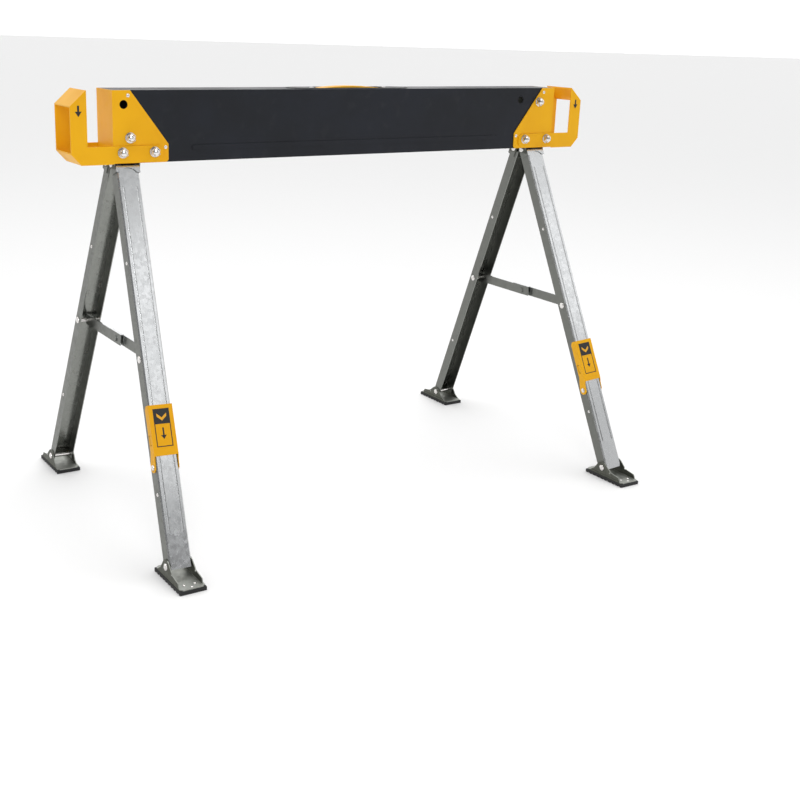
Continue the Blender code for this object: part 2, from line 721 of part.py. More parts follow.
def build_latch(side):
    """The yellow cover on a front leg that swings out on its lower ears."""
    frame = on_leg(side, -1, LATCH_PIVOT, 2 * MM)
    half = LEG_WIDTH / 2 + 2 * GAP + LATCH_SHEET
    out = LEG_DEPTH / 2 - 2 * MM + 2 * GAP + LATCH_SHEET
    top = LATCH_PIVOT - LATCH_TOP
    foot = LATCH_PIVOT - LATCH_FOOT
    ear = 9 * MM
    outline = [
        (out, top),
        (out - LATCH_DEPTH + 5 * MM, top),
        (out - LATCH_DEPTH, top - 6 * MM),
        (out - LATCH_DEPTH, foot + 10 * MM),
        (-ear, foot * 0.3),
        (-ear, -4 * MM),
        (-4 * MM, -ear),
        (4 * MM, -ear),
        (ear, -4 * MM),
        (ear + 1 * MM, foot * 0.6),
        (out, foot),
    ]
    bm = bmesh.new()
    prism(bm, [(-y, z) for y, z in outline], "X", -half, half)
    latch = part(f"latch_{SIDE_NAME[side]}", bm, FINISH_YELLOW, frame)
    core = bmesh.new()
    inner = half - LATCH_SHEET
    face = -out + LATCH_SHEET
    box(core, (-inner, face, -30 * MM), (inner, 40 * MM, top + 9 * MM))
    box(core, (-inner, face - 30 * MM, -30 * MM), (inner, 40 * MM, foot))
    hook = [(x * MM, z * MM) for x, z in HOOK_SLOT]
    for hand in (-1, 1):
        wall = (hand * (inner - 2 * MM), hand * (half + 2 * MM))
        cylinder(core, (0, 0, 0), "X", 3 * MM + GAP, *wall, segments=16)
        prism(core, [(-y, z + 46 * MM) for y, z in hook], "X", *wall)
    cut(latch, core)
    cross_pin(f"latch_pin_{SIDE_NAME[side]}", frame, half + GAP, radius=3 * MM, head=5 * MM)


def build_foot(side, row):
    """A steel shoe that swivels on its pin, with a rubber pad under it."""
    name = f"{ROW_NAME[row]}_{SIDE_NAME[side]}"
    frame = level(on_leg(side, row, LEG_LENGTH))
    sole = PAD_HEIGHT + GAP
    centre = row * FOOT_OFFSET
    half_x = FOOT_WIDTH / 2
    half_y = FOOT_LENGTH / 2
    tilt = (frame.to_3x3().inverted()).to_4x4()
    low = -FOOT_PIN_Z + sole
    bm = bmesh.new()
    corner = 5 * MM
    plate = [
        (half_x, half_y - corner),
        (half_x - corner, half_y),
        (-half_x + corner, half_y),
        (-half_x, half_y - corner),
        (-half_x, -half_y + corner),
        (-half_x + corner, -half_y),
        (half_x - corner, -half_y),
        (half_x, -half_y + corner),
    ]
    prism(bm, [(x, y + centre) for x, y in plate], "Z", low, low + FOOT_SHEET)
    bmesh.ops.transform(bm, matrix=tilt, verts=bm.verts)
    shoe = part(f"foot_shoe_{name}", bm, FINISH_STEEL, frame)
    wall_in = LEG_WIDTH / 2 + 0.6 * MM
    wall_out = wall_in + 1.6 * MM
    flanges = bmesh.new()
    for hand in (-1, 1):
        seat = Vector((hand * (wall_in + wall_out) / 2, 0, low + FOOT_SHEET / 2))
        root = (tilt @ seat).z
        hump = [
            (centre + row * (half_y - 8 * MM), root),
            (centre + row * (half_y - 12 * MM), root + 9 * MM),
            (row * 26 * MM, root + 13 * MM),
            (row * 10 * MM, 10 * MM),
            (row * 4 * MM, 13 * MM),
            (row * -4 * MM, 13 * MM),
            (row * -10 * MM, 10 * MM),
            (row * -22 * MM, root + 9 * MM),
            (centre - row * (half_y - 8 * MM), root),
        ]
        prism(flanges, hump, "X", hand * wall_in, hand * wall_out)
    cut(shoe, flanges, "UNION")
    holes = bmesh.new()
    for hand in (-1, 1):
        wall = (hand * (wall_in - 2 * MM), hand * (wall_out + 2 * MM))
        cylinder(holes, (0, 0, 0), "X", PIN_RADIUS + GAP, *wall)
        cylinder(holes, (0, row * 24 * MM, -4 * MM), "X", 2.2 * MM, *wall, segments=16)
    cut(shoe, holes)
    cross_pin(f"foot_pin_{name}", frame, wall_out + GAP)
    bm = bmesh.new()
    grow = 1 * MM
    count = 9
    step = (FOOT_LENGTH + 2 * grow) / (2 * count + 1)
    edge = [(-half_y - grow, PAD_HEIGHT), (-half_y - grow, 0)]
    for index in range(count):
        start = -half_y - grow + (2 * index + 1) * step
        edge += [(start, 0), (start, 1.8 * MM), (start + step, 1.8 * MM), (start + step, 0)]
    edge += [(half_y + grow, 0), (half_y + grow, PAD_HEIGHT)]
    prism(bm, [(y + centre, z - FOOT_PIN_Z) for y, z in edge], "X", -half_x - grow, half_x + grow)
    bmesh.ops.transform(bm, matrix=tilt, verts=bm.verts)
    part(f"foot_pad_{name}", bm, FINISH_RUBBER, frame)


def build_button(side):
    """The spring button on a yoke, just inside the beam's front wall while the legs are down."""
    spot_x, spot_z = BUTTON_SPOT[side]
    tip = shell_half() - SHELL_SHEET - BUTTON_CLEARANCE
    face = YOKE_HALF_Y - YOKE_SHEET - GAP
    profile = [
        (0, face - 2.5 * MM),
        (BUTTON_RADIUS + 2.5 * MM, face - 2.5 * MM),
        (BUTTON_RADIUS + 2.5 * MM, face),
        (BUTTON_RADIUS, face),
        (BUTTON_RADIUS, tip - 1 * MM),
        (BUTTON_RADIUS * 0.75, tip - 0.35 * MM),
        (0, tip),
    ]
    bm = bmesh.new()
    lathe(bm, profile, (0, 0, 0), "Y", segments=20)
    bmesh.ops.scale(bm, vec=(1, -1, 1), verts=bm.verts)
    frame = set_frame(side) @ Matrix.Translation((spot_x, 0, spot_z))
    part(f"lock_button_{SIDE_NAME[side]}", bm, FINISH_CHROME, frame)


clear_scene()
PIECES = collection("folding_sawhorse")
TOOLS = collection("cutters")
TOOLS.hide_render = True
build_shell()
build_handle()
for side_sign in (-1, 1):
    build_end_plate(side_sign)
    build_bracket(side_sign)
    build_pivot_bolt(side_sign)
    build_yoke(side_sign)
    build_spreader(side_sign)
    build_latch(side_sign)
    build_button(side_sign)
    for row_sign in (-1, 1):
        build_stud(side_sign, row_sign, 0)
        build_stud(side_sign, row_sign, 1)
        build_leg(side_sign, row_sign)
        build_foot(side_sign, row_sign)
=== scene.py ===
"""Looks of the folding sawhorse: materials, fixings, stage, light and camera."""

import json
import logging
import math
from dataclasses import dataclass
from enum import Enum
from typing import Callable, Iterable, Sequence, Union

import bmesh
import bpy
from mathutils import Matrix, Vector

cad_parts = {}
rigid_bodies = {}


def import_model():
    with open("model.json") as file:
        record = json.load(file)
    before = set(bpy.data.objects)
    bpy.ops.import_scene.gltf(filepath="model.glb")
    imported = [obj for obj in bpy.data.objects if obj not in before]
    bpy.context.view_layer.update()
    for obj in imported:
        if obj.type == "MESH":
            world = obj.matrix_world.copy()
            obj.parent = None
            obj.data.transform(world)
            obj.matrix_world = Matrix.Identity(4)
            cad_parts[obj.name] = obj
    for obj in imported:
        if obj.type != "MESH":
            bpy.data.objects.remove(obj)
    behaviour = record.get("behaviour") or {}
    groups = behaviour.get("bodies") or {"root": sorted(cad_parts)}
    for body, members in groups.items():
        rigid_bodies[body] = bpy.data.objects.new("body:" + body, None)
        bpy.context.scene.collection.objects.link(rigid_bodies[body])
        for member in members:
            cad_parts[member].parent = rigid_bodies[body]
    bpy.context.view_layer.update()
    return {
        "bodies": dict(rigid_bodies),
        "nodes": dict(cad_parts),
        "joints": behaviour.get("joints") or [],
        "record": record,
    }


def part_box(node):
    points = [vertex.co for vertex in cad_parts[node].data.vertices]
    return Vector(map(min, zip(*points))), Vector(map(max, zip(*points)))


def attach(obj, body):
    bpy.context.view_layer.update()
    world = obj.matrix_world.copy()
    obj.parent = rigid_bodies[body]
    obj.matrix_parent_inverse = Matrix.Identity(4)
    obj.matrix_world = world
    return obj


log = logging.getLogger("sawhorse")
MM = 0.001
LABEL_THICK = 0.14 * MM
ARROW_THICK = 0.15 * MM
SOFT_EDGE = 0.45 * MM
SOFT_EDGE_SMALL = 0.25 * MM
Colour = tuple[float, float, float]
Number = Union[float, "Value"]


class Surface(Enum):
    """Kinds of surface that the finishes are made of."""

    COAT = "powder coat"
    ZINC = "galvanised sheet"
    PLATED = "bright plating"
    RUBBER = "rubber"
    PLASTIC = "moulded plastic"
    PRINT = "printed mark"


@dataclass(frozen=True)
class Finish:
    """One finish: its colour and how rough and uneven it is."""

    name: str
    surface: Surface
    colour: Colour
    shade: Colour
    metallic: float = 0.0
    rough: tuple[float, float] = (0.35, 0.5)
    bump: float = 0.1
    coat: float = 0.0
    specular: float = 0.5


YELLOW = Finish(
    "yellow_coat",
    Surface.COAT,
    (0.86, 0.44, 0.004),
    (0.78, 0.37, 0.003),
    rough=(0.36, 0.48),
    bump=0.12,
    specular=0.22,
)
BLACK = Finish(
    "black_coat",
    Surface.COAT,
    (0.0085, 0.0108, 0.0175),
    (0.0055, 0.007, 0.011),
    rough=(0.36, 0.48),
    bump=0.14,
    specular=0.3,
)
ZINC = Finish("galvanised", Surface.ZINC, (0.76, 0.77, 0.78), (0.50, 0.52, 0.53), 1.0, (0.15, 0.27), 0.05)
ZINC_DARK = Finish(
    "galvanised_dull", Surface.ZINC, (0.36, 0.37, 0.34), (0.24, 0.25, 0.225), 0.9, (0.34, 0.5), 0.12
)
CHROME = Finish(
    "bright_plating", Surface.PLATED, (0.78, 0.76, 0.74), (0.60, 0.58, 0.56), 1.0, (0.07, 0.18), 0.03
)
RUBBER = Finish(
    "rubber", Surface.RUBBER, (0.012, 0.012, 0.013), (0.028, 0.027, 0.026), rough=(0.65, 0.85), bump=0.35
)
PLASTIC = Finish(
    "black_plastic",
    Surface.PLASTIC,
    (0.011, 0.012, 0.013),
    (0.018, 0.019, 0.021),
    rough=(0.42, 0.58),
    bump=0.25,
)
INK = Finish(
    "black_print", Surface.PRINT, (0.008, 0.008, 0.009), (0.014, 0.014, 0.014), rough=(0.4, 0.5), bump=0.03
)
INK_YELLOW = Finish(
    "yellow_print", Surface.PRINT, (0.83, 0.42, 0.012), (0.76, 0.36, 0.01), rough=(0.4, 0.5), bump=0.03
)
DUST = (0.45, 0.43, 0.40)
CHIPPED = (0.20, 0.20, 0.19)
BLOOM = (0.55, 0.55, 0.53)
SCUFFED = (0.09, 0.088, 0.085)
# Painted shade colours: one for zinc faces that look downward, one for zinc side walls that face along X.
UNDERSIDE_PAINTED_SHADE = (0.14, 0.145, 0.12)
SIDE_WALL_PAINTED_SHADE = (0.085, 0.088, 0.07)
COAT_ROUGHNESS = 0.25


class Value:
    """A shader socket that arithmetic can be written with."""

    def __init__(self, tree: bpy.types.NodeTree, socket: bpy.types.NodeSocket) -> None:
        """Wraps a socket.

        Args:
            tree: The node tree that the socket is in.
            socket: The output socket.
        """
        self.tree = tree
        self.socket = socket

    def _math(self, operation: str, first: Number, second: Number) -> "Value":
        """Adds a Math node.

        Args:
            operation: The Math node's operation.
            first: Its first input.
            second: Its second input.

        Returns:
            The node's output.
        """
        node = self.tree.nodes.new("ShaderNodeMath")
        node.operation = operation
        for socket, value in zip(node.inputs, (first, second)):
            feed(self.tree, socket, value)
        return Value(self.tree, node.outputs[0])

    def __add__(self, other: Number) -> "Value":
        """Sum.

        Args:
            other: What is added.

        Returns:
            The sum.
        """
        return self._math("ADD", self, other)

    def __sub__(self, other: Number) -> "Value":
        """Difference.

        Args:
            other: What is taken away.

        Returns:
            The difference.
        """
        return self._math("SUBTRACT", self, other)

    def __mul__(self, other: Number) -> "Value":
        """Product.

        Args:
            other: The factor.

        Returns:
            The product.
        """
        return self._math("MULTIPLY", self, other)

    def __gt__(self, other: Number) -> "Value":
        """Step: one where this is greater.

        Args:
            other: The threshold.

        Returns:
            The step.
        """
        return self._math("GREATER_THAN", self, other)


def feed(
    tree: bpy.types.NodeTree, socket: bpy.types.NodeSocket, value: Union[Number, Sequence[float]]
) -> None:
    """Sets or links a socket.

    Args:
        tree: The node tree.
        socket: The input socket.
        value: A constant or a wrapped output.
    """
    if isinstance(value, Value):
        tree.links.new(value.socket, socket)
    elif isinstance(value, (tuple, list)) and len(value) == 3 and socket.type == "RGBA":
        socket.default_value = (*value, 1.0)
    else:
        socket.default_value = value


class Shader:
    """A material being put together from nodes."""

    def __init__(self, finish: Finish) -> None:
        """Starts the material of a finish.

        Args:
            finish: The finish.
        """
        self.finish = finish
        self.material = bpy.data.materials.new(finish.name)
        self.material.use_nodes = True
        self.tree = self.material.node_tree
        self.bsdf = self.tree.nodes["Principled BSDF"]
        self.place = self.node("ShaderNodeTexCoord", "Object")

    def node(
        self, kind: str, output: Union[str, int], settings: dict | None = None, **inputs: object
    ) -> Value:
        """Adds any node.

        Args:
            kind: The node's type.
            output: The name or index of the output that is wanted.
            settings: The node's own properties.
            **inputs: Its inputs, by name, with underscores for spaces.

        Returns:
            The wanted output.
        """
        made = self.tree.nodes.new(kind)
        for name, value in (settings or {}).items():
            setattr(made, name, value)
        for name, value in inputs.items():
            feed(self.tree, made.inputs[name.replace("_", " ")], value)
        return Value(self.tree, made.outputs[output])

    def stretched(self, scale: Sequence[float]) -> Value:
        """Object coordinates, scaled along each axis.

        Args:
            scale: The three factors.

        Returns:
            The scaled coordinates.
        """
        return self.node("ShaderNodeMapping", "Vector", Vector=self.place, Scale=tuple(scale))

    def noise(self, scale: float, detail: float = 3.0, place: Value | None = None) -> Value:
        """Noise in object space.

        Args:
            scale: Its scale, in cells a metre.
            detail: Its octaves.
            place: Other coordinates.

        Returns:
            The noise, from nought to one.
        """
        return self.node("ShaderNodeTexNoise", "Fac", Vector=place or self.place, Scale=scale, Detail=detail)

    def ramp(self, value: Value, low: float, high: float, start: float = 0.0, end: float = 1.0) -> Value:
        """Maps a range on to another, smoothly and clamped.

        Args:
            value: What is mapped.
            low: The lowest input.
            high: The highest input.
            start: The output at low.
            end: The output at high.

        Returns:
            The mapped value.
        """
        return self.node(
            "ShaderNodeMapRange",
            "Result",
            {"interpolation_type": "SMOOTHSTEP"},
            Value=value,
            From_Min=low,
            From_Max=high,
            To_Min=start,
            To_Max=end,
        )

    def mix(self, factor: Number, first: object, second: object) -> Value:
        """Mixes two colours.

        Args:
            factor: The share of the second.
            first: The first colour.
            second: The second colour.

        Returns:
            The mixed colour.
        """
        made = self.tree.nodes.new("ShaderNodeMix")
        made.data_type = "RGBA"
        feed(self.tree, made.inputs["Factor"], factor)
        feed(self.tree, made.inputs[6], first)
        feed(self.tree, made.inputs[7], second)
        return Value(self.tree, made.outputs[2])

    def close(self, colour: Value, rough: Value, height: Value, distance: float) -> bpy.types.Material:
        """Wires the result into the material's shader.

        Args:
            colour: The base colour.
            rough: The roughness.
            height: The height that the bump follows.
            distance: The bump's depth in metres.

        Returns:
            The finished material.
        """
        strength = self.finish.bump
        normal = self.node("ShaderNodeBump", "Normal", Height=height, Strength=strength, Distance=distance)
        for name, value in (("Base Color", colour), ("Roughness", rough), ("Normal", normal)):
            feed(self.tree, self.bsdf.inputs[name], value)
        self.bsdf.inputs["Metallic"].default_value = self.finish.metallic
        self.bsdf.inputs["Coat Weight"].default_value = self.finish.coat
        self.bsdf.inputs["Specular IOR Level"].default_value = self.finish.specular
        self.bsdf.inputs["Coat Roughness"].default_value = COAT_ROUGHNESS
        return self.material


def powder_coat(shader: Shader) -> bpy.types.Material:
    """Powder coat: fine orange peel, slow tone changes, dust and small chips.

    Args:
        shader: The material being made.

    Returns:
        The finished material.
    """
    peel = shader.noise(620, 2)
    tone = shader.noise(9, 4)
    dust = shader.ramp(shader.noise(48, 6), 0.55, 0.78)
    chips = shader.ramp(shader.noise(310, 3), 0.74, 0.77)
    base = shader.mix(shader.ramp(tone, 0.3, 0.7), shader.finish.colour, shader.finish.shade)
    dusty = shader.mix(dust * 0.012, base, DUST)
    worn = shader.mix(chips * 0.12, dusty, CHIPPED)
    low, high = shader.finish.rough
    rough = shader.ramp(tone, 0.25, 0.75, low, high) + dust * 0.12
    return shader.close(worn, rough, peel + chips * -0.6, 0.0004)


def galvanised(shader: Shader) -> bpy.types.Material:
    """Galvanised sheet: spangle, rolling streaks, dull patches and white bloom, with painted shade on side
    walls and downward faces.

    Args:
        shader: The material being made.

    Returns:
        The finished material.
    """
    warp = shader.node("ShaderNodeTexNoise", "Color", Vector=shader.place, Scale=60.0, Detail=2.0)
    bent = shader.node("ShaderNodeVectorMath", "Vector", {"operation": "MULTIPLY_ADD"})
    node = bent.socket.node
    feed(shader.tree, node.inputs[0], warp)
    node.inputs[1].default_value = (0.006, 0.006, 0.006)
    feed(shader.tree, node.inputs[2], shader.place)
    cells = shader.node("ShaderNodeTexVoronoi", "Color", Vector=bent, Scale=150.0)
    grain = shader.node("ShaderNodeSeparateColor", "Red", Color=cells)
    streak = shader.noise(1.0, 4, shader.stretched((420.0, 420.0, 5.0)))
    patch = shader.noise(14, 5)
    bloom = shader.ramp(shader.noise(75, 6), 0.58, 0.74)
    tone = shader.ramp(patch, 0.3, 0.7) * 0.16 + grain * 0.07 + streak * 0.4
    base = shader.mix(tone, shader.finish.colour, shader.finish.shade)
    bloomed = shader.mix(bloom * 0.12, base, BLOOM)
    # Painted shade: faces that look along X (side walls) and faces that look down are darkened by their
    # direction in the object, not by light.
    facing = shader.node("ShaderNodeTexCoord", "Normal")
    across = shader.node("ShaderNodeSeparateXYZ", "X", Vector=facing)
    upward = shader.node("ShaderNodeSeparateXYZ", "Z", Vector=facing)
    wall = shader.ramp(across * across, 0.35, 0.75)
    underside_shade_mask = shader.ramp(upward, -0.3, -0.1, 1.0, 0.0)
    underside_shaded = shader.mix(underside_shade_mask * 0.8, bloomed, UNDERSIDE_PAINTED_SHADE)
    wall_and_underside_shaded = shader.mix(wall * 0.85, underside_shaded, SIDE_WALL_PAINTED_SHADE)
    low, high = shader.finish.rough
    rough = shader.ramp(grain + streak * 0.6, 0.1, 1.4, low, high) + bloom * 0.1 + wall * 0.16
    return shader.close(wall_and_underside_shaded, rough, grain * 0.2 + streak, 0.0003)


def plated(shader: Shader) -> bpy.types.Material:
    """Bright plating with fine turning marks and a few dull spots.

    Args:
        shader: The material being made.

    Returns:
        The finished material.
    """
    haze = shader.noise(130, 4)
    lines = shader.noise(1.0, 2, shader.stretched((900.0, 900.0, 900.0)))
    base = shader.mix(shader.ramp(haze, 0.45, 0.75), shader.finish.colour, shader.finish.shade)
    low, high = shader.finish.rough
    rough = shader.ramp(haze, 0.3, 0.75, low, high) + lines * 0.05
    return shader.close(base, rough, lines, 0.0002)


def moulded(shader: Shader) -> bpy.types.Material:
    """Moulded rubber or plastic: fine grain, scuffs and dust.

    Args:
        shader: The material being made.

    Returns:
        The finished material.
    """
    grain = shader.node("ShaderNodeTexVoronoi", "Distance", Vector=shader.place, Scale=900.0)
    dust = shader.ramp(shader.noise(60, 6), 0.45, 0.8)
    scuff = shader.ramp(shader.noise(1.0, 3, shader.stretched((30.0, 700.0, 700.0))), 0.6, 0.75)
    base = shader.mix(dust, shader.finish.colour, shader.finish.shade)
    scuffed = shader.mix(scuff * 0.25, base, SCUFFED)
    low, high = shader.finish.rough
    rough = shader.ramp(dust + grain * 0.5, 0.1, 1.2, low, high)
    return shader.close(scuffed, rough, grain + scuff * 0.3, 0.0004)


RECIPES: dict[Surface, Callable[[Shader], bpy.types.Material]] = {
    Surface.COAT: powder_coat,
    Surface.ZINC: galvanised,
    Surface.PLATED: plated,
    Surface.RUBBER: moulded,
    Surface.PLASTIC: moulded,
    Surface.PRINT: powder_coat,
}


class Palette:
    """Every finish's material, each made once."""

    def __init__(self) -> None:
        """Starts with no materials."""
        self.made: dict[str, bpy.types.Material] = {}

    def get(self, finish: Finish) -> bpy.types.Material:
        """The material of a finish.

        Args:
            finish: The finish.

        Returns:
            Its material.
        """
        if finish.name not in self.made:
            self.made[finish.name] = RECIPES[finish.surface](Shader(finish))
        return self.made[finish.name]


NODE_FINISH: tuple[tuple[str, Finish], ...] = (
    ("end_plate", YELLOW),
    ("board_bracket", YELLOW),
    ("carry_grip", YELLOW),
    ("latch_pin", CHROME),
    ("latch", YELLOW),
    ("beam_shell", BLACK),
    ("handle_insert", PLASTIC),
    ("foot_pad", RUBBER),
    ("foot_shoe", ZINC_DARK),
    ("stud", CHROME),
    ("pivot_bolt", CHROME),
    ("hinge_pin", CHROME),
    ("link_pin", CHROME),
    ("foot_pin", CHROME),
    ("lock_button", CHROME),
    ("yoke", ZINC_DARK),
)


def finish_of(node: str) -> Finish:
    """The finish of a CAD node.

    Args:
        node: Its name.

    Returns:
        Its finish.
    """
    for start, finish in NODE_FINISH:
        if node.startswith(start):
            return finish
    return ZINC


def dress(nodes: dict[str, bpy.types.Object], palette: Palette) -> None:
    """Gives every CAD node its material and softened edges.

    Args:
        nodes: The CAD nodes by name.
        palette: The materials.
    """
    for name, obj in nodes.items():
        obj.data.materials.clear()
        obj.data.materials.append(palette.get(finish_of(name)))
        if name.startswith(("stud", "pivot_bolt", "lock", "hinge", "link_pin", "foot_pin", "latch_pin")):
            width = SOFT_EDGE_SMALL
        else:
            width = SOFT_EDGE
        soft = obj.modifiers.new("soft_edges", "BEVEL")
        soft.width = width
        soft.segments = 2
        soft.limit_method = "ANGLE"
        soft.angle_limit = math.radians(35)
        soft.harden_normals = True


class Maker:
    """Makes extra pieces and fixes each to its body."""

    def __init__(self, palette: Palette) -> None:
        """Starts a maker.

        Args:
            palette: The materials.
        """
        self.palette = palette
        self.count = 0

    def add(
        self, name: str, bm: bmesh.types.BMesh, finish: Finish, body: str, smooth: bool = True
    ) -> bpy.types.Object:
        """Turns a mesh in the row frame into a piece on a body.

        Args:
            name: The piece's name.
            bm: Its mesh, in the row frame.
            finish: Its finish.
            body: The body it rides on.
            smooth: Whether it is shaded smooth.

        Returns:
            The piece.
        """
        bmesh.ops.recalc_face_normals(bm, faces=bm.faces)
        for face in bm.faces:
            face.smooth = smooth
        mesh = bpy.data.meshes.new(name)
        bm.to_mesh(mesh)
        bm.free()
        mesh.materials.append(self.palette.get(finish))
        obj = bpy.data.objects.new(name, mesh)
        bpy.context.scene.collection.objects.link(obj)
        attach(obj, body)
        self.count += 1
        return obj


def along(point: Vector, normal: Vector) -> Matrix:
    """A frame at a point whose Z is a surface's normal.

    Args:
        point: The point.
        normal: The outward normal.

    Returns:
        The frame.
    """
    return Matrix.Translation(point) @ normal.to_track_quat("Z", "Y").to_matrix().to_4x4()


def turned(
    bm: bmesh.types.BMesh, profile: Iterable[tuple[float, float]], place: Matrix, steps: int = 20
) -> None:
    """Adds a turned solid.

    Args:
        bm: The mesh.
        profile: Radius and height pairs, from the axis back to the axis.
        place: Where it goes, with Z along its axis.
        steps: Segments round it.
    """
    new = bmesh.new()
    verts = [new.verts.new((radius, 0, height)) for radius, height in profile]
    edges = [new.edges.new(pair) for pair in zip(verts, verts[1:])]
    bmesh.ops.spin(
        new,
        geom=verts + edges,
        axis=(0, 0, 1),
        cent=(0, 0, 0),
        angle=math.tau,
        steps=steps,
        use_merge=True,
    )
    bmesh.ops.remove_doubles(new, verts=new.verts, dist=1e-6)
    merge(bm, new, place)


def merge(bm: bmesh.types.BMesh, new: bmesh.types.BMesh, place: Matrix) -> None:
    """Copies a mesh into another.

    Args:
        bm: The mesh that grows.
        new: The mesh that is copied and freed.
        place: Where it goes.
    """
    bmesh.ops.transform(new, matrix=place, verts=new.verts)
    scratch = bpy.data.meshes.new("scratch")
    new.to_mesh(scratch)
    new.free()
    bm.from_mesh(scratch)
    bpy.data.meshes.remove(scratch)


def slab(bm: bmesh.types.BMesh, outline: Sequence[tuple[float, float]], thick: float, place: Matrix) -> None:
    """Adds a flat plate drawn in a frame's XY, raised along its Z.

    Args:
        bm: The mesh.
        outline: The plate's outline.
        thick: How far it stands up.
        place: Where it goes.
    """
    new = bmesh.new()
    face = new.faces.new([new.verts.new((x, y, 0)) for x, y in outline])
    made = bmesh.ops.extrude_face_region(new, geom=[face])
    top = [item for item in made["geom"] if isinstance(item, bmesh.types.BMVert)]
    bmesh.ops.translate(new, vec=(0, 0, thick), verts=top)
    merge(bm, new, place)


def stadium(length: float, width: float, steps: int = 8) -> list[tuple[float, float]]:
    """Outline of a slot with round ends, long along X.

    Args:
        length: Its length.
        width: Its width.
        steps: Segments in each end.

    Returns:
        The outline.
    """
    reach = (length - width) / 2
    points = []
    for end, first in ((1, -90), (-1, 90)):
        for step in range(steps + 1):
            turn = math.radians(first + 180 * step / steps)
            points.append((end * reach + math.cos(turn) * width / 2, math.sin(turn) * width / 2))
    return points


def dome(radius: float, height: float, sink: float = 0.4 * MM) -> list[tuple[float, float]]:
    """Profile of a low round rivet head.

    Args:
        radius: Its radius.
        height: How far it stands out.
        sink: How far its foot is set in.

    Returns:
        The profile.
    """
    arc = [(radius * math.cos(a), height * math.sin(a)) for a in (0.0, 0.3, 0.6, 0.9, 1.2, 1.4)]
    return [(0.0, -sink), (radius, -sink), *arc, (0.0, height)]


@dataclass(frozen=True)
class BeamSize:
    """Sizes of the beam's fixings, measured from its ends and its top."""

    rivets: tuple[tuple[float, float], ...] = ((29 * MM, 9 * MM), (98 * MM, 99 * MM))
    rivet: float = 3.4 * MM
    screw_out: float = 83 * MM
    screw: float = 4.4 * MM
    mark_drop: float = 34 * MM


@dataclass(frozen=True)
class LegSize:
    """Sizes of a leg set's fixings."""

    rivet: float = 3.2 * MM
    front_rivets: tuple[float, ...] = (180 * MM, 585 * MM)
    rear_rivets: tuple[float, ...] = (180 * MM, 540 * MM)
    label: tuple[float, float] = (30 * MM, 66 * MM)
    label_middle: float = 66 * MM
    shoe_rivet: float = 2.6 * MM


class Beam:
    """The beam's fixings: rivets, screws and marks."""

    def __init__(self, size: BeamSize, maker: Maker) -> None:
        """Measures the beam.

        Args:
            size: Its fixings' sizes.
            maker: What makes pieces.
        """
        self.size = size
        self.maker = maker
        low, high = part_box("end_plate_left")
        self.end = -low[0]
        self.half = high[1]
        self.top = high[2]

    def build(self) -> None:
        """Builds every fixing of the beam."""
        self.rivets()
        self.screws()
        self.marks()

    def rivets(self) -> None:
        """Rivets through the end plates' gussets."""
        for side in (-1, 1):
            for row in (-1, 1):
                for index, (inset, drop) in enumerate(self.size.rivets):
                    point = Vector((side * (self.end - inset), row * self.half, self.top - drop))
                    bm = bmesh.new()
                    turned(bm, dome(self.size.rivet, 1.5 * MM), along(point, Vector((0, row, 0))))
                    self.maker.add(f"gusset_rivet_{'lr'[side > 0]}{'fr'[row > 0]}{index}", bm, CHROME, "beam")

    def screws(self) -> None:
        """Cross-head screws in the pads at each end of the carrying grip, each with its cross recess as a
        black slab of painted shade.
        """
        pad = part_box("handle_insert")[1][2]
        for side in (-1, 1):
            point = Vector((side * self.size.screw_out, 0, pad))
            bm = bmesh.new()
            turned(bm, dome(self.size.screw, 1.1 * MM), along(point, Vector((0, 0, 1))), 24)
            self.maker.add(f"grip_screw_{'lr'[side > 0]}", bm, CHROME, "beam")
            # Painted shade: the cross recess is a thin black slab on the head, not a cut.
            bm = bmesh.new()
            for turn in (0.4, 0.4 + math.pi / 2):
                place = Matrix.Translation(point + Vector((0, 0, 0.95 * MM))) @ Matrix.Rotation(turn, 4, "Z")
                slab(bm, stadium(4.4 * MM, 0.9 * MM, 4), 0.3 * MM, place)
            self.maker.add(f"grip_screw_recess_painted_shade_{'lr'[side > 0]}", bm, INK, "beam", smooth=False)

    def marks(self) -> None:
        """A plain arrow on each cheek of the upright arms, pointing down to the board's seat."""
        arrow = [(-1.8, 9), (1.8, 9), (1.8, -1), (6, -1), (0, -10), (-6, -1), (-1.8, -1)]
        for name, side in (("left", -1), ("right", 1)):
            low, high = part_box(f"board_bracket_{name}")
            tip = low[0] if side < 0 else high[0]
            for row in (-1, 1):
                face = low[1] if row < 0 else high[1]
                point = Vector((tip - side * 14.7 * MM, face, self.top - self.size.mark_drop))
                place = Matrix.Translation(point) @ Matrix.Rotation(math.pi / 2, 4, "X")
                if row > 0:
                    place = place @ Matrix.Rotation(math.pi, 4, "Y")
                bm = bmesh.new()
                slab(bm, [(x * MM, y * MM) for x, y in arrow], ARROW_THICK, place)
                self.maker.add(f"seat_arrow_{name}_{'fr'[row > 0]}", bm, INK, "beam", smooth=False)


